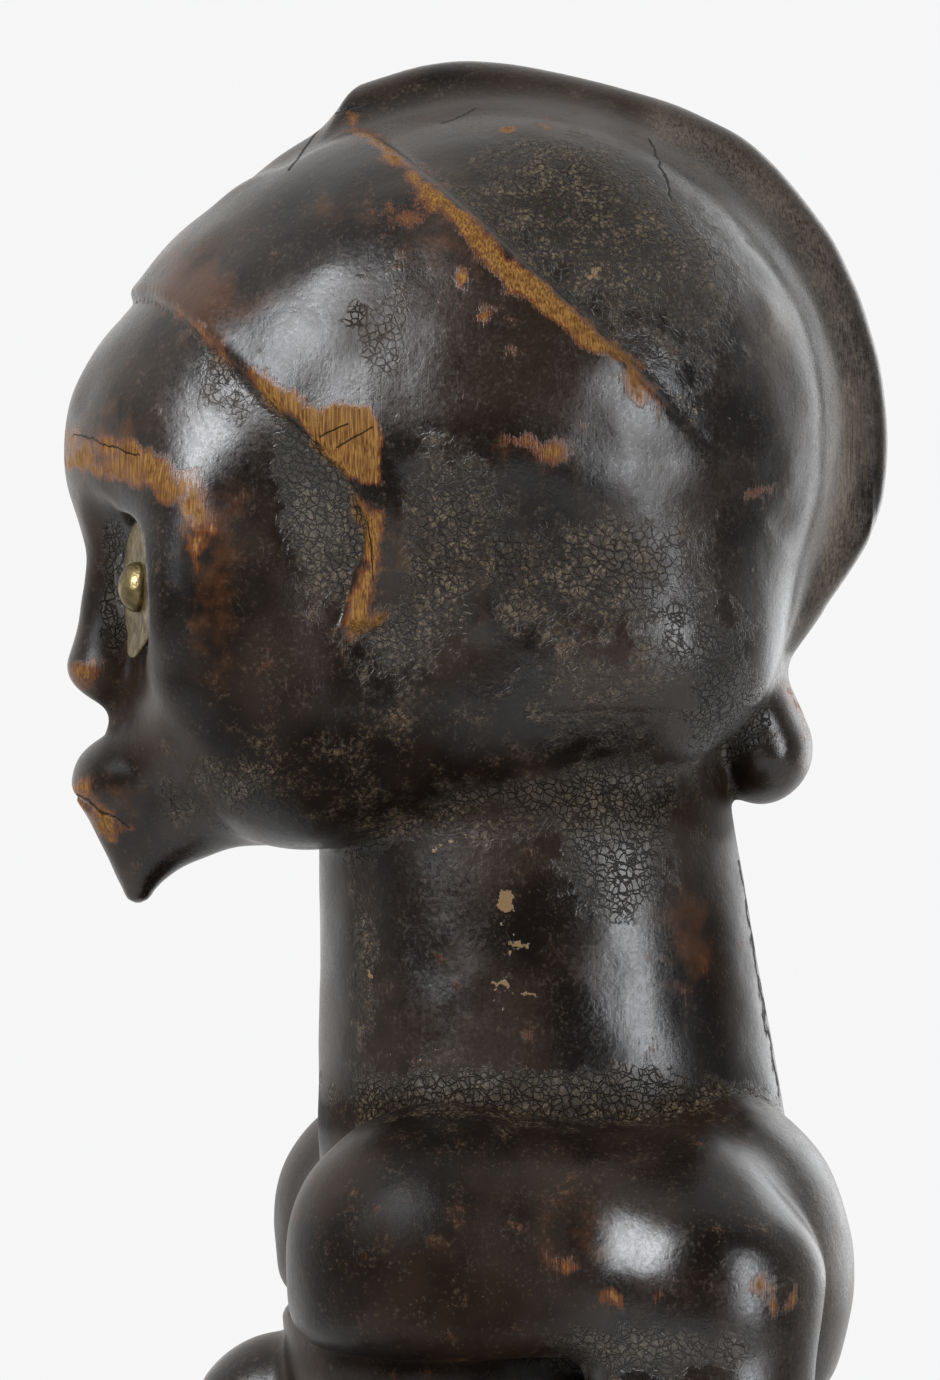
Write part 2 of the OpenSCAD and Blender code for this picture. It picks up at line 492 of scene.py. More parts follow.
def inside(y, z, corners):
    """1 inside a convex outline of (y, z) corners in the side view, fading to 0 just outside it."""
    corners = np.array(corners, float)
    middle = corners.mean(axis=0)
    outside = np.full(len(y), -FAR)
    for (ay, az), (by, bz) in zip(corners, np.roll(corners, -1, axis=0)):
        ny, nz = (bz - az), -(by - ay)
        if ny * (middle[0] - ay) + nz * (middle[1] - az) > 0:
            ny, nz = -ny, -nz
        outside = np.maximum(outside, (ny * (y - ay) + nz * (z - az)) / math.hypot(ny, nz))
    return 1 - smooth_step(-1.4, 2.6, outside)


def side_view(points):
    """Where each vertex, or its mirror twin, is seen from the left, as (y, z) on the middle plane."""
    x, y, z = np.abs(points[:, 0]), points[:, 1] - VIEW_AIM[1], points[:, 2] - VIEW_AIM[2]
    s, c = sin_cos(VIEW_AHEAD)
    larger = VIEW_FROM / (VIEW_FROM - c * x + s * y)
    return (c * y + s * x) * larger + VIEW_AIM[1], z * larger + VIEW_AIM[2]


def ragged(points, y, z):
    """The side view's places, shaken so that outlines drawn in it come out uneven."""
    shake_y = 1.1 * smooth_noise(points, 6, 21) + 0.6 * smooth_noise(points, 2.2, 22)
    shake_z = 1.1 * smooth_noise(points, 6, 23) + 0.6 * smooth_noise(points, 2.2, 24)
    return y + shake_y, z + shake_z


def relief(points):
    """Low relief on the sides of the head and shoulders, in mm outwards."""
    x = points[:, 0]
    y, z = side_view(points)
    side = smooth_step(14, 30, np.abs(x))
    low = ridge(y, z, [(3, 428), (8, 424), (20, 416), (33, 409)], 6, 0.4)
    low += ridge(y, z, [(12, 413), (30, 402)], 7, -0.4)
    low += ridge(y, z, [(2, 404), (2, 388)], 3.5, 1.0)
    low += ridge(y, z, [(-11, 414), (-9, 396)], 5, -1.1)
    low += ridge(y, z, [(9, 402), (11, 390)], 5, -0.6)
    waves = 0.45 * smooth_noise(points, 21, 3) + 0.22 * smooth_noise(points, 8, 4)
    return side * low + waves


# ---------------------------------------------------------------- materials

class Graph:
    """Short names for the nodes that a material is made of. Places are in mm."""

    def __init__(self, name):
        self.material = bpy.data.materials.new(name)
        self.material.use_nodes = True
        self.tree = self.material.node_tree
        self.shader = self.tree.nodes["Principled BSDF"]
        self.place = self.vector("SCALE", self.node("TexCoord").outputs["Object"], scale=1 / MM)

    def node(self, kind, **settings):
        made = self.tree.nodes.new("ShaderNode" + kind)
        for key, value in settings.items():
            setattr(made, key, value)
        return made

    def feed(self, socket, value):
        if isinstance(value, bpy.types.NodeSocket):
            self.tree.links.new(value, socket)
        elif isinstance(value, (tuple, list)) and socket.type == "RGBA":
            socket.default_value = (*value, 1)
        else:
            socket.default_value = value

    def math(self, operation, a, b=0.0):
        made = self.node("Math", operation=operation)
        self.feed(made.inputs[0], a)
        self.feed(made.inputs[1], b)
        return made.outputs[0]

    def add(self, a, b):
        return self.math("ADD", a, b)

    def times(self, a, b):
        return self.math("MULTIPLY", a, b)

    def larger(self, a, b):
        return self.math("MAXIMUM", a, b)

    def inverse(self, value):
        """1 where value is 0, 0 where it is 1."""
        return self.math("SUBTRACT", 1.0, value)

    def vector(self, operation, a, b=None, scale=None):
        made = self.node("VectorMath", operation=operation)
        self.feed(made.inputs[0], a)
        if b is not None:
            self.feed(made.inputs[1], b)
        if scale is not None:
            self.feed(made.inputs["Scale"], scale)
        return made.outputs[0]

    def stretched(self, x, y, z):
        """The place, with each direction measured in its own unit of mm."""
        return self.vector("MULTIPLY", self.place, (1 / x, 1 / y, 1 / z))

    def noise_node(self, size, place, detail, roughness):
        made = self.node("TexNoise")
        self.feed(made.inputs["Vector"], place)
        made.inputs["Scale"].default_value = 1 / size
        made.inputs["Detail"].default_value = detail
        made.inputs["Roughness"].default_value = roughness
        return made

    def noise(self, size, place=None, detail=3.0, roughness=0.55):
        """Noise from 0 to 1 with lumps of about size mm."""
        place = self.place if place is None else place
        return self.noise_node(size, place, detail, roughness).outputs[0]

    def bent(self, amount, size):
        """The place, shaken about by noise."""
        random = self.noise_node(size, self.place, 2.0, 0.5).outputs["Color"]
        shift = self.vector("SUBTRACT", random, (0.5, 0.5, 0.5))
        return self.vector("ADD", self.place, self.vector("SCALE", shift, scale=amount))

    def from_edge(self, size, place):
        """Distance from the nearest edge between cells, as a part of their width, size, in mm."""
        made = self.node("TexVoronoi", feature="DISTANCE_TO_EDGE")
        self.feed(made.inputs["Vector"], place)
        made.inputs["Scale"].default_value = 1 / size
        return made.outputs["Distance"]

    def step(self, value, low, high):
        """0 below low, 1 above high, and smooth between."""
        made = self.node("MapRange", interpolation_type="SMOOTHSTEP")
        self.feed(made.inputs["Value"], value)
        made.inputs["From Min"].default_value = low
        made.inputs["From Max"].default_value = high
        return made.outputs["Result"]

    def mix(self, amount, a, b):
        """a where amount is 0, b where it is 1, for colours."""
        made = self.node("Mix", data_type="RGBA")
        self.feed(made.inputs["Factor"], amount)
        self.feed(made.inputs[6], a)
        self.feed(made.inputs[7], b)
        return made.outputs[2]

    def blend(self, amount, a, b):
        """a where amount is 0, b where it is 1, for numbers."""
        made = self.node("Mix", data_type="FLOAT")
        self.feed(made.inputs["Factor"], amount)
        self.feed(made.inputs[2], a)
        self.feed(made.inputs[3], b)
        return made.outputs[0]

    def zone(self, name):
        return self.node("Attribute", attribute_name=name).outputs["Fac"]

    def bump(self, height):
        """A bump map from a height in mm."""
        made = self.node("Bump")
        made.inputs["Distance"].default_value = MM
        self.feed(made.inputs["Height"], height)
        return made.outputs["Normal"]

    def finish(self, colour, roughness, normal):
        self.feed(self.shader.inputs["Base Color"], colour)
        self.feed(self.shader.inputs["Roughness"], roughness)
        self.feed(self.shader.inputs["Normal"], normal)
        return self.material


def near_line(g, start, end, half_width, wobble):
    """1 on a thin line between two places in the side view, 0 off it."""
    across, up = end[0] - start[0], end[1] - start[1]
    length = math.hypot(across, up)
    y = g.add(g.add(g.zone("side_y"), -start[0]), wobble)
    z = g.add(g.add(g.zone("side_z"), -start[1]), wobble)
    along = g.add(g.times(y, across / length), g.times(z, up / length))
    off = g.math("ABSOLUTE", g.add(g.times(y, up / length), g.times(z, -across / length)))
    past = g.larger(g.larger(g.times(along, -1), g.add(along, -length)), 0.0)
    return g.inverse(g.step(g.add(off, past), 0.0, half_width))


# Cracks from the wood's drying, each from one place in the side view to another, and its half width
DRYING_CHECKS = [
    ((35, 484.5), (39.5, 472), 0.3),
    ((-37, 478), (-29, 489), 0.3),
    ((-29, 489), (-21, 491.5), 0.25),
    ((-7, 487), (0, 490), 0.22),
    ((53, 340), (56.4, 318), 0.4),
    ((56.4, 318), (61, 293), 0.35),
    ((-31, 424.5), (-25, 427.5), 0.25),
    ((-27.5, 422.5), (-20.5, 426.5), 0.25),
    ((-21, 408), (-20, 396), 0.22),
    ((-80, 425), (-67, 421), 0.25),
    ((-79.5, 353), (-69, 346.5), 0.35),
]


# Colours of the wood and of what lies on it, as linear red, green and blue
PATINA = (0.0050, 0.0032, 0.0023)
THIN_PATINA = (0.0165, 0.0095, 0.0056)
# Tan specks of dust, made light enough to also paint the small glints of the glossy patina
DUST_AND_GLINT = (0.070, 0.050, 0.032)
RED = (0.048, 0.0175, 0.0058)
BROWN = (0.085, 0.026, 0.006)
OCHRE = (0.225, 0.116, 0.033)
DARK_GRAIN = (0.066, 0.025, 0.007)
STAIN = (0.075, 0.028, 0.007)
# Grey bloom, made light enough to also paint the sheen of the backdrop's grazing reflection
BLOOM_AND_SHEEN = (0.23, 0.19, 0.15)
CRUST = (0.021, 0.0150, 0.0098)
SPECKLE = (0.145, 0.108, 0.064)
# Grey plates of cracked crust, lightened to also paint their sheen
CRACKLE_AND_SHEEN = (0.055, 0.047, 0.037)
CRACK = (0.004, 0.003, 0.0025)
FLECK = (0.19, 0.12, 0.055)


def wood_cracks(g, wood):
    """1 in the crackle's thin lines and on the drying checks, 0 off them."""
    bent = g.bent(1.6, 2.4)
    wide = g.inverse(g.step(g.from_edge(2.3, bent), 0.0, 0.05))
    thin = g.times(g.inverse(g.step(g.from_edge(1.6, bent), 0.0, 0.1)), 0.9)
    cracks = g.larger(g.times(wide, wood.crackle), g.times(thin, g.larger(wood.crackle, wood.crust)))
    wobble = g.times(wood.medium_off, 2.2)
    for start, end, half_width in DRYING_CHECKS:
        cracks = g.larger(cracks, near_line(g, start, end, half_width, wobble))
    return cracks


def wood_areas(g):
    """The noises that the wood is made from, and how much of each thing shows, from 0 to 1."""
    wood = SimpleNamespace()
    wood.large = g.noise(24)
    wood.medium = g.noise(5)
    wood.medium_off = g.add(wood.medium, -0.5)
    wood.fine = g.noise(0.9, detail=4, roughness=0.75)
    wood.grit = g.add(wood.fine, g.times(wood.medium_off, 0.35))
    wood.fibre = g.noise(1.0, g.stretched(0.34, 0.34, 8), roughness=0.6)

    uneven = g.add(g.add(wood.medium, g.times(wood.fibre, 0.6)), -0.81)
    rubbed = g.add(g.zone("wear"), g.times(uneven, 1.25))
    wood.brown = g.step(rubbed, 0.2, 0.46)
    wood.bare = g.step(rubbed, 0.46, 0.62)
    wood.red = g.step(g.add(g.zone("red"), g.times(wood.medium_off, 1.3)), 0.35, 0.9)
    wood.crust = g.step(g.add(g.zone("crust"), g.times(wood.medium_off, 0.8)), 0.2, 0.8)
    wood.crackle = g.step(g.add(g.zone("crackle"), wood.medium_off), 0.3, 0.6)
    wood.cracks = wood_cracks(g, wood)
    wood.dull = g.zone("dull")
    spots = g.add(g.noise(2.2), -0.5)
    wood.flecks = g.step(g.add(g.zone("fleck"), g.times(spots, 2.6)), 0.78, 0.9)
    return wood


def bare_colour(g, wood):
    """Ochre wood with darker grain and stains."""
    ochre = g.mix(g.step(wood.fibre, 0.33, 0.66), DARK_GRAIN, OCHRE)
    stain = g.add(g.noise(3.4, detail=4, roughness=0.7), g.times(g.zone("wear"), -0.12))
    return g.mix(g.times(g.step(stain, 0.42, 0.6), 0.55), ochre, STAIN)


def wood_colour(g, wood):
    """The patina's colour, with what shows through it or lies on it laid over it in turn."""
    colour = g.mix(g.step(wood.large, 0.38, 0.66), PATINA, THIN_PATINA)
    # Light specks over the patina: partly real dust, partly painted glints
    colour = g.mix(g.times(g.step(wood.grit, 0.54, 0.74), 0.55), colour, DUST_AND_GLINT)
    colour = g.mix(g.times(wood.red, 0.85), colour, RED)
    colour = g.mix(wood.brown, colour, BROWN)
    colour = g.mix(wood.bare, colour, bare_colour(g, wood))
    mottle = g.add(g.times(wood.large, 0.5), g.add(g.times(wood.grit, 0.6), g.times(wood.fibre, 1.2)))
    # Painted sheen: the bloom zone lightens the keel band, a spot on the cap and the shoulder blade, both
    # for real bloom and in place of a grazing reflection
    colour = g.mix(g.times(g.zone("bloom_and_sheen"), g.step(mottle, 0.75, 1.5)), colour, BLOOM_AND_SHEEN)
    colour = g.mix(g.times(wood.crust, 0.6), colour, CRUST)
    speckle = g.times(g.step(wood.grit, 0.48, 0.66), wood.crust)
    colour = g.mix(g.times(speckle, 0.7), colour, SPECKLE)
    # The crackle's plates: real grey crust, with a painted sheen in their lighter colour
    colour = g.mix(g.times(wood.crackle, 0.45), colour, CRACKLE_AND_SHEEN)
    colour = g.mix(g.times(wood.cracks, 0.88), colour, CRACK)
    return g.mix(g.times(wood.flecks, 0.8), colour, FLECK)


def wood_roughness(g, wood):
    rough = g.blend(g.step(wood.large, 0.3, 0.7), 0.22, 0.32)
    rough = g.add(rough, g.times(g.add(wood.grit, -0.5), 0.35))
    rough = g.blend(g.times(wood.dull, 0.6), rough, 0.6)
    rough = g.blend(wood.crust, rough, 0.55)
    rough = g.blend(g.times(wood.crackle, 0.6), rough, 0.36)
    rough = g.blend(wood.bare, rough, 0.48)
    return g.blend(wood.cracks, rough, 0.85)


def wood_height(g, wood):
    """Fine height in mm: lumps, which are larger in the crust, grain where it is worn, and cracks."""
    height = g.times(wood.fine, g.blend(wood.crust, 0.055, 0.15))
    height = g.add(height, g.times(g.noise(2.4, detail=2), g.blend(wood.crust, 0.045, 0.14)))
    height = g.add(height, g.times(wood.medium, g.blend(wood.crust, 0.10, 0.35)))
    height = g.add(height, g.times(wood.fibre, g.blend(wood.brown, 0.014, 0.06)))
    height = g.add(height, g.times(wood.cracks, -0.35))
    return g.add(height, g.times(wood.flecks, 0.08))


def wood_material():
    """Oiled hardwood: a dark glossy patina, worn through to brown and ochre, with crust in the hollows."""
    g = Graph("patinated_wood")
    wood = wood_areas(g)
    shine = g.blend(g.larger(wood.dull, wood.bare), 0.5, 0.05)
    g.feed(g.shader.inputs["Specular IOR Level"], shine)
    return g.finish(wood_colour(g, wood), wood_roughness(g, wood), g.bump(wood_height(g, wood)))


def brass_material():
    """Old brass: dull olive, with small darker spots and a few rubbed bright spots, both spread by noise.
    """
    g = Graph("eye_brass")
    tarnish = g.noise(3, detail=4)
    spots = g.noise(0.7, detail=3)
    colour = g.mix(g.step(tarnish, 0.35, 0.7), (0.085, 0.064, 0.027), (0.25, 0.19, 0.085))
    colour = g.mix(g.times(g.step(spots, 0.55, 0.75), 0.6), colour, (0.055, 0.042, 0.022))
    rough = g.blend(g.step(tarnish, 0.3, 0.7), 0.52, 0.33)
    height = g.add(g.times(g.noise(2.2, detail=2), 0.25), g.times(spots, 0.06))
    g.shader.inputs["Metallic"].default_value = 0.85
    return g.finish(colour, rough, g.bump(height))


def resin_material():
    """Dark tree resin, dried and cracked into small plates."""
    g = Graph("eye_bedding")
    grain = g.noise(1.2, detail=3)
    crack = g.inverse(g.step(g.from_edge(2.8, g.bent(1.4, 2.0)), 0.0, 0.1))
    colour = g.mix(grain, (0.010, 0.008, 0.007), (0.05, 0.043, 0.036))
    colour = g.mix(crack, colour, (0.003, 0.0025, 0.002))
    rough = g.blend(crack, 0.42, 0.9)
    return g.finish(colour, rough, g.bump(g.add(g.times(grain, 0.2), g.times(crack, -0.5))))


def floor_material():
    g = Graph("pale_floor")
    colour = g.mix(g.noise(60), (0.60, 0.60, 0.595), (0.64, 0.64, 0.635))
    return g.finish(colour, 0.75, g.bump(g.times(g.noise(1.5), 0.02)))


# ---------------------------------------------------------------- pieces

def new_object(name, points, faces, material):
    """A smooth-shaded mesh object from points in mm and faces that all have as many corners."""
    mesh = bpy.data.meshes.new(name)
    faces = np.asarray(faces)
    mesh.vertices.add(len(points))
    mesh.vertices.foreach_set("co", (np.asarray(points) * MM).astype(np.float32).ravel())
    mesh.loops.add(faces.size)
    mesh.loops.foreach_set("vertex_index", faces.astype(np.int32).ravel())
    mesh.polygons.add(len(faces))
    mesh.polygons.foreach_set("loop_start", np.arange(len(faces), dtype=np.int32) * faces.shape[1])
    mesh.update()
    mesh.validate()
    mesh.shade_smooth()
    mesh.materials.append(material)
    piece = bpy.data.objects.new(name, mesh)
    bpy.context.collection.objects.link(piece)
    return piece


def stands_for(piece, node):
    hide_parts(node)
    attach(piece, "root")


def wear_zone(y, z, edges):
    """Where hands have rubbed the patina off, from 0 to 1."""
    rubbed = 0.0
    for strength, corners in [
        (0.6, [(-25, 488), (-6, 473.5), (-8, 471.5), (-25, 486.5)]),
        (0.8, [(-8, 474), (31, 440), (22, 443.5), (12, 450.5), (-1, 463)]),
        (0.5, [(30, 441), (38, 431), (33, 431), (30, 437)]),
        (0.88, [(-35.5, 430.5), (-21, 430.5), (-19.5, 426), (-20, 416), (-24, 415.5), (-30, 421)]),
        (0.6, [(-46, 438.5), (-35, 433), (-34, 428), (-41, 431.5)]),
        (0.45, [(-60, 450), (-46, 439.5), (-46, 436), (-60, 448)]),
        (0.72, [(-24.5, 412.5), (-19, 409), (-20, 399), (-21.5, 399.5)]),
        (0.6, [(-23.5, 398), (-20.3, 398.5), (-22, 387), (-26.5, 386)]),
        (0.6, [(-26.5, 387), (-18, 389), (-18.5, 386), (-23, 384)]),
        (0.56, [(-82, 426), (-67, 423), (-60, 419), (-64, 414), (-72, 416), (-82, 419)]),
        (0.5, [(-64, 420), (-56, 418.5), (-54.5, 413), (-62, 412)]),
        (0.54, [(-57, 417), (-54, 415), (-53, 407), (-55.5, 400), (-58, 402.5), (-57.5, 410)]),
        (0.45, [(-83, 381), (-74, 379), (-74, 375.5), (-83, 375.5)]),
        (0.56, [(-82, 356), (-77, 354), (-69, 346), (-72, 344), (-80, 349)]),
        (0.55, [(62, 375), (66, 372), (69, 364), (66, 364)]),
    ]:
        rubbed = np.maximum(rubbed, strength * inside(y, z, corners))
    rubbed += patches(y, z, [
        (2, 448, 2.4, 2.6, 0.72),
        (-3, 456.5, 1.4, 2.4, 0.72),
        (10.5, 424, 4, 2.5, 0.5),
        (15, 421, 4, 2.5, 0.5),
        (57, 413, 3, 2, 0.5),
        (-14, 470, 8, 3, 0.35),
        (7, 486, 2, 1.2, 0.6),
        (14.5, 486, 2, 2.5, 0.5),
        (19, 260, 2.5, 3, 0.5),
        (28, 253, 2.5, 2.5, 0.45),
        (37, 254, 3, 2, 0.4),
        (57, 255, 1.8, 2.6, 0.5),
        (59.5, 250.5, 1.6, 2.2, 0.65),
        (63.5, 253, 1.2, 3, 0.5),
    ])
    lower = 1 - smooth_step(225, 240, z)
    rubbed += lower * np.clip(edges * 0.45 - 0.1, 0, 0.6)
    return np.clip(rubbed, 0, 1)


def red_zone(y, z, edges):
    """Where the patina is thin and reddish, from 0 to 1."""
    red = patches(y, z, [
        (-74, 424, 12, 9, 0.8),
        (-52, 410, 10, 10, 0.6),
        (-52, 386, 8, 17, 0.6),
        (-57, 455, 9, 13, 0.9),
        (-46, 450, 8, 8, 0.5),
        (-28, 470, 10, 6, 0.6),
        (-6, 464, 12, 8, 0.55),
        (0, 448, 12, 10, 0.4),
        (13, 421, 14, 6, 0.6),
        (-15, 404, 6, 16, 0.4),
        (1, 394, 3, 10, 0.5),
        (43, 324, 6, 14, 0.8),
        (5, 308, 12, 8, 0.4),
        (-70, 350, 12, 10, 0.5),
        (22, 265, 12, 12, 0.5),
        (-8, 266, 18, 14, 0.3),
        (0, 180, 60, 40, 0.2),
    ])
    return np.clip(red + np.clip(edges, 0, 1) * 0.2, 0, 1)


def crust_zone(y, z, edges):
    """Where dust and oil have caked to a grey crust, from 0 to 1."""
    crust = patches(y, z, [
        (14, 476, 18, 12, 0.65),
        (30, 460, 20, 14, 0.7),
        (46, 440, 14, 22, 0.35),
        (-18, 446, 7, 16, 0.45),
        (-5, 410, 10, 18, 0.75),
        (22, 398, 24, 12, 0.75),
        (-30, 406, 9, 14, 0.8),
        (-50, 436, 12, 12, 0.4),
        (-14, 386, 8, 8, 0.6),
        (-20, 366, 30, 12, 0.33),
        (-48, 355, 18, 8, 0.6),
        (30, 372, 26, 14, 0.45),
        (12, 348, 40, 6, 0.5),
        (12, 292, 48, 6, 0.8),
        (-22, 322, 4, 26, 0.5),
        (30, 242, 26, 5, 0.6),
        (30, 350, 10, 10, 0.5),
        (0, 16, 90, 8, 0.5),
    ])
    return np.clip(crust - np.clip(edges, -1, 1) * 0.25, 0, 1)


def crackle_zone(y, z, edges):
    """Where the crust has cracked into small plates, from 0 to 1."""
    crackle = patches(y, z, [
        (28, 345, 12, 17, 1.0),
        (50, 370, 10, 13, 0.9),
        (-33, 416, 8, 16, 0.85),
        (-48, 436, 8, 6, 0.5),
        (-22, 450, 10, 9, 0.42),
        (-50, 354, 16, 8, 0.5),
        (-14, 386, 8, 6, 0.5),
        (5, 352, 30, 5, 0.6),
        (0, 410, 8, 12, 0.35),
        (10, 294, 46, 4.5, 0.9),
        (34, 242, 24, 6, 0.8),
        (-72, 394, 3, 17, 1.0),
        (42, 388, 16, 9, 0.5),
    ])
    return np.clip(crackle - np.clip(edges, 0, 1) * 0.3, 0, 1)


def dull_zone(y, z, edges):
    """Where dust has taken the shine off, from 0 to 1."""
    dull = patches(y, z, [
        (-18, 262, 24, 22, 1.0),
        (6, 250, 18, 9, 0.8),
        (-24, 360, 34, 15, 1.0),
        (-50, 384, 10, 20, 0.8),
        (-55, 401, 7, 10, 1.0),
        (-74.5, 392, 3.5, 20, 0.9),
        (-69, 381, 4, 6, 0.9),
        (-71, 370, 6, 6, 1.0),
        (-8, 240, 26, 3.5, 1.0),
        (-71, 358, 6, 5, 0.7),
        (-22, 447, 7, 9, 0.6),
        (-40, 441, 10, 8, 0.35),
        (-72, 344, 8, 8, 0.4),
        (8, 400, 30, 16, 0.5),
        (48, 318, 7, 34, 1.0),
        (-22, 320, 6, 24, 0.5),
        (20, 474, 22, 12, 0.6),
    ])
    dull += ridge(y, z, [(-30, 356), (0, 353), (30, 351), (50, 350)], 6, 0.9)
    dull += ridge(y, z, [(-32, 289), (-10, 291), (20, 291), (52, 288)], 6, 0.9)
    return np.clip(dull, 0, 1)


def bloom_and_sheen_zone(y, z, edges):
    """Where a grey bloom lightens the patina, from 0 to 1: partly real dust bloom, partly a painted sheen
    that stands in for the backdrop's grazing reflection on the keel, on the cap and on the shoulder blade.
    """
    bloom_and_sheen = ridge(y, z, [(38, 487), (52, 480), (68, 462), (75, 440), (74, 413), (68, 389)], 4.5, 0.4)
    bloom_and_sheen += patches(y, z, [
        (61, 447, 3, 5, 0.6),
        (73, 415, 4, 24, 0.4),
        (70, 262, 5, 16, 0.3),
    ])
    return np.clip(bloom_and_sheen, 0, 1)


def fleck_zone(y, z, edges):
    """Where small tan spots show, from 0 to 1."""
    return np.clip(0.1 + patches(y, z, [
        (6, 331.5, 3, 4.5, 1.0),
        (7.5, 322.5, 3, 2, 1.0),
        (-21, 317, 1.3, 2.4, 0.8),
        (5.5, 316, 1.5, 1, 0.8),
        (10.5, 313.5, 1.3, 1, 0.8),
        (19, 332.5, 1.6, 1, 0.6),
        (7, 315, 8, 6, 0.25),
        (27, 332, 2, 2.5, 0.5),
        (-5, 344, 10, 4, 0.35),
        (12, 298, 30, 6, 0.2),
        (25, 457, 2.2, 2.6, 0.75),
        (44, 432, 8, 8, 0.35),
        (57, 397, 2.4, 1.8, 0.5),
        (30, 468, 14, 14, 0.15),
        (-2, 252, 5, 4, 0.4),
    ]), 0, 1)


# Each is called with the side view's places and with how sharp an edge each vertex lies on
ZONES = {
    "wear": wear_zone,
    "red": red_zone,
    "crust": crust_zone,
    "crackle": crackle_zone,
    "dull": dull_zone,
    "bloom_and_sheen": bloom_and_sheen_zone,
    "fleck": fleck_zone,
}


def carved_figure():
    clay = sculpt()
    points, quads = clay.mesh()
    normals = vertex_normals(points, quads)
    points = points + normals * relief(points)[:, None]
    points[:, 2] = np.maximum(points[:, 2], 0)
    rounds = 12
    sharp = 0.35                    # a sharp edge stands this far out, in mm
    edges = bulge(points, quads, rounds) / sharp
    piece = new_object("carved_figure_wood", points, quads, wood_material())
    y, z = side_view(points)
    uneven_y, uneven_z = ragged(points, y, z)
    values = {name: zone(uneven_y, uneven_z, edges) for name, zone in ZONES.items()}
    values.update(side_y=y, side_z=z)
    for name, value in values.items():
        attribute = piece.data.attributes.new(name, "FLOAT", "POINT")
        attribute.data.foreach_set("value", value.astype(np.float32))
    stands_for(piece, "carved_figure")


def slab(cells, radius, top, bottom):
    """A closed round slab. Its radius depends on the direction, its top and bottom on the place."""
    side = np.linspace(-1, 1, cells + 1)
    a, b = (v.ravel() for v in np.meshgrid(side, side, indexing="ij"))
    u, v = a * np.sqrt(1 - b * b / 2), b * np.sqrt(1 - a * a / 2)
    reach = radius(np.arctan2(v, u))
    u, v = u * reach, v * reach
    index = np.arange(len(u)).reshape(cells + 1, cells + 1)
    corners = [index[:-1, :-1], index[1:, :-1], index[1:, 1:], index[:-1, 1:]]
    upper = np.stack(corners, axis=-1).reshape(-1, 4)
    rim = np.concatenate([index[:-1, 0], index[-1, :-1], index[:0:-1, -1], index[0, :0:-1]])
    ahead = np.roll(rim, -1)
    under = len(u)
    wall = np.stack([rim, rim + under, ahead + under, ahead], axis=-1)
    points = np.concatenate([np.stack([u, v, top(u, v)], 1), np.stack([u, v, bottom(u, v)], 1)])
    return points, np.concatenate([upper, upper[:, ::-1] + under, wall])


def level(height):
    """A flat top or bottom for a slab."""
    return lambda u, v: height + 0 * u


def flat_noise(u, v, cell, seed):
    return smooth_noise(np.stack([u, v, 0 * u], axis=1), cell, seed)


def at_both_eyes(kind, node, material, shells):
    """Makes a piece for each eye out of closed shells given on the left plate's axes."""
    points = np.concatenate([p for p, _ in shells])
    offsets = np.cumsum([0] + [len(p) for p, _ in shells])
    faces = np.concatenate([f + offset for (_, f), offset in zip(shells, offsets)])
    left = np.stack(at_eye(*points.T), axis=1)
    for side, name, corners in ((1, "left", faces), (-1, "right", faces[:, ::-1])):
        piece = new_object(f"{kind}_{name}", left * (side, 1, 1), corners, material)
        stands_for(piece, f"{node}_{name}")


def eye_plates():
    """Thin beaten discs with an uneven rim. The outer side is lifted and the lower tip curls out."""
    def radius(turn):
        tip = np.exp(-(((turn + math.pi / 2) / 0.35) ** 2))
        uneven = 0.012 * np.sin(3 * turn + 1) + 0.008 * np.sin(8 * turn)
        return PLATE_R * (0.985 + uneven + 0.06 * tip)

    def top(u, v):
        beaten = 0.12 * flat_noise(u, v, 3.0, 7)
        curl = 1.3 * smooth_step(8.5, 14, -v)
        lifted = 0.9 * smooth_step(9, 13, u)
        return PLATE_T + beaten + curl + lifted

    shell = slab(72, radius, top, lambda u, v: top(u, v) - PLATE_T)
    at_both_eyes("eye_plate_brass", "eye_plate", brass_material(), [shell])


def eye_nails():
    """Hand-filed domed nail heads, and the shanks that hold them in the wood."""
    head_r = 4.9
    head_h = 4.0
    rim_h = 0.5
    shank_r = 1.0
    shank_len = 15.0
    seat = PLATE_T - 0.15           # the head sits this deep in the uneven plate

    def dome(u, v):
        away = np.clip((u * u + v * v) / head_r**2, 0, 1)
        rise = np.sqrt(1 - 0.985 * away) * (1 - 0.12 * away)
        filed = 0.16 * flat_noise(u, v, 2.4, 11) * (1 - away)
        return seat + rim_h + (head_h - rim_h) * rise + filed

    head = slab(40, lambda turn: head_r * (1 + 0.02 * np.sin(2 * turn)), dome, level(seat))
    shank = slab(8, lambda turn: shank_r + 0 * turn, level(seat + rim_h), level(PLATE_T - shank_len))
    at_both_eyes("eye_nail_brass", "eye_nail", brass_material(), [head, shank])


def eye_beds():
    """Resin packed under each plate, and squeezed out against the side of the nose."""
    gap = 0.1
    depth = 3.0

    def radius(turn):
        spread = 0.17 * smooth_step(0.3, 1, -np.cos(turn))
        return PLATE_R * (0.93 + spread + 0.02 * np.sin(5 * turn))

    def top(u, v):
        squeezed = 2.2 * smooth_step(10.5, 14, -u)
        return squeezed * (1 + 0.3 * flat_noise(u, v, 4, 13)) - gap

    shell = slab(60, radius, top, level(-depth))
    at_both_eyes("eye_bed_resin", "eye_resin", resin_material(), [shell])


carved_figure()
eye_plates()
eye_nails()
eye_beds()

# ---------------------------------------------------------------- stage, lights and camera

LIGHT_AIM = (0, 0, 0.38)
LIGHT_COLOUR = (0.93, 0.96, 1.0)


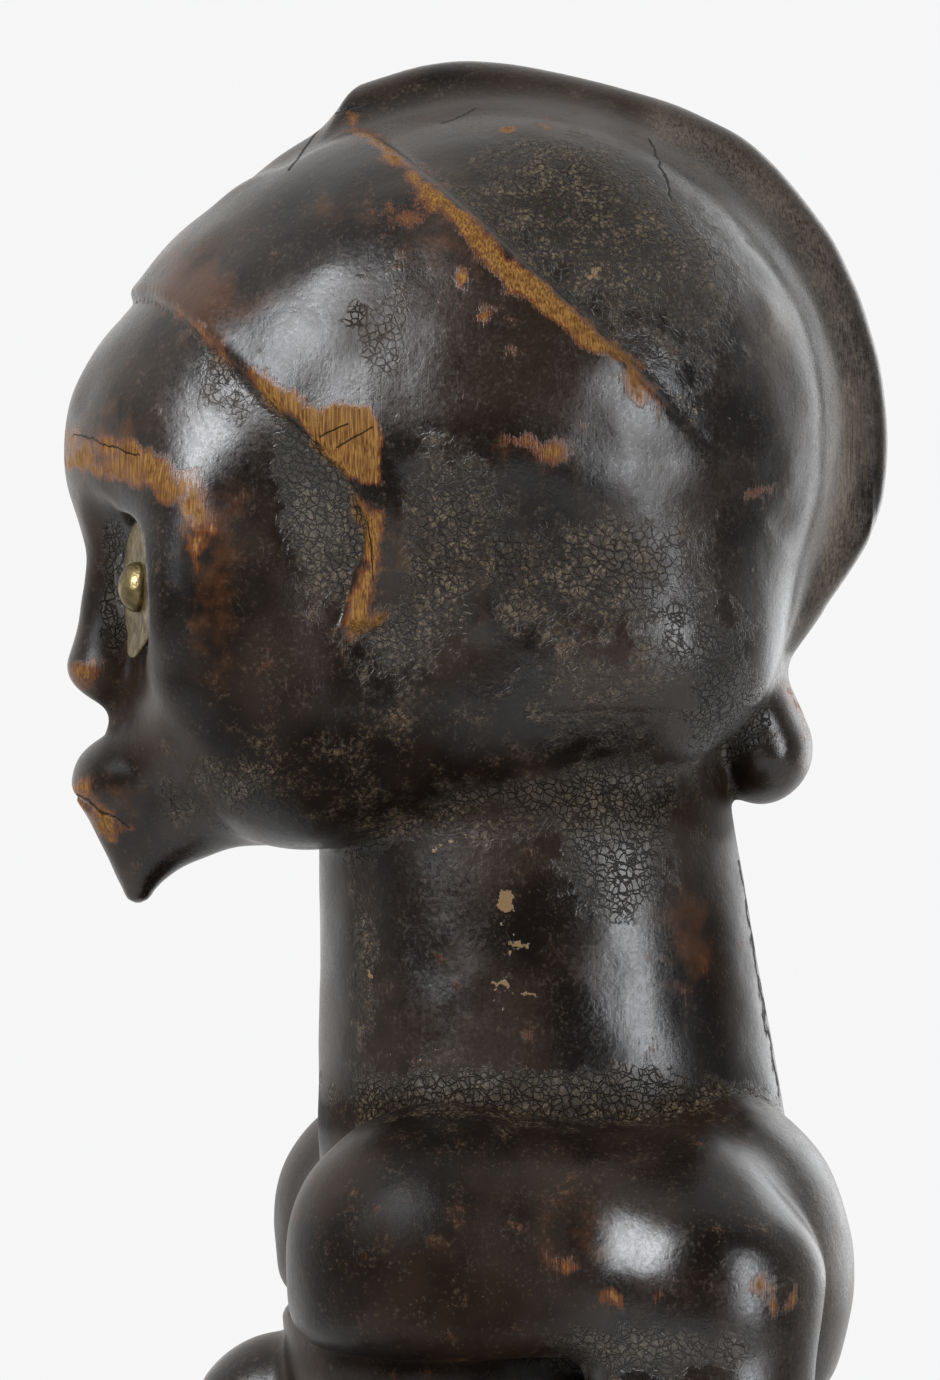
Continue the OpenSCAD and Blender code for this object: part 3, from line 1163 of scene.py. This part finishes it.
def area_light(name, place, width, height, watts):
    light = bpy.data.lights.new(name, "AREA")
    light.shape = "RECTANGLE"
    light.size = width
    light.size_y = height
    light.energy = watts
    light.color = LIGHT_COLOUR
    lamp = bpy.data.objects.new(name, light)
    bpy.context.collection.objects.link(lamp)
    lamp.location = place
    lamp.rotation_euler = (Vector(LIGHT_AIM) - Vector(place)).to_track_quat("-Z", "Y").to_euler()


def floor():
    """A round floor, small enough to stay out of the close view."""
    sides = 96
    radius = 0.85
    rim = [(radius * math.cos(t), radius * math.sin(t), 0) for t in np.arange(sides) * math.tau / sides]
    new_object("floor", np.array(rim) / MM, [list(range(sides))], floor_material())


def studio_world():
    """A white backdrop to the eye, and a softer light that comes mostly from beyond the figure."""
    world = bpy.data.worlds.new("studio")
    world.use_nodes = True
    tree = world.node_tree
    link = tree.links.new

    def node(kind):
        return tree.nodes.new("ShaderNode" + kind)

    backdrop = tree.nodes["Background"]
    backdrop.inputs["Color"].default_value = (0.925, 0.925, 0.93, 1)
    direction = node("SeparateXYZ")
    link(node("TexCoord").outputs["Generated"], direction.inputs[0])
    near_and_low = node("Math")
    near_and_low.operation = "MULTIPLY_ADD"
    near_and_low.inputs[1].default_value = -0.35
    link(direction.outputs["Z"], near_and_low.inputs[0])
    link(direction.outputs["X"], near_and_low.inputs[2])
    strength = node("MapRange")
    link(near_and_low.outputs[0], strength.inputs["Value"])
    for name, value in {"From Min": -0.6, "From Max": 0.25, "To Min": 1.0, "To Max": 0.025}.items():
        strength.inputs[name].default_value = value
    surround = node("Background")
    surround.inputs["Color"].default_value = (1.0, 0.985, 0.965, 1)
    link(strength.outputs["Result"], surround.inputs["Strength"])
    choose = node("MixShader")
    link(node("LightPath").outputs["Is Camera Ray"], choose.inputs[0])
    link(surround.outputs[0], choose.inputs[1])
    link(backdrop.outputs[0], choose.inputs[2])
    link(choose.outputs[0], tree.nodes["World Output"].inputs["Surface"])
    bpy.context.scene.world = world


def view_camera():
    """A camera with the view given at the top of the script."""
    data = bpy.data.cameras.new("camera")
    data.lens = LENS
    data.sensor_width = FILM
    data.clip_start = 0.01
    camera = bpy.data.objects.new("camera", data)
    bpy.context.collection.objects.link(camera)
    azimuth = 90 - VIEW_AHEAD       # degrees round from the figure's front towards its left side
    s, c = sin_cos(azimuth)
    camera.location = (Vector(VIEW_AIM) + VIEW_FROM * Vector((s, -c, 0))) * MM
    camera.rotation_euler = (math.radians(90), 0, math.radians(azimuth))
    return camera


floor()
studio_world()
area_light("left_light", (0.82, -0.91, 1.00), 0.40, 0.86, 28)
area_light("right_light", (0.92, 0.90, 0.42), 0.26, 0.80, 11)
area_light("back_light", (-0.99, 0.95, 0.66), 0.85, 1.20, 5)
bpy.context.scene.view_settings.view_transform = "Standard"
bpy.context.scene.camera = view_camera()
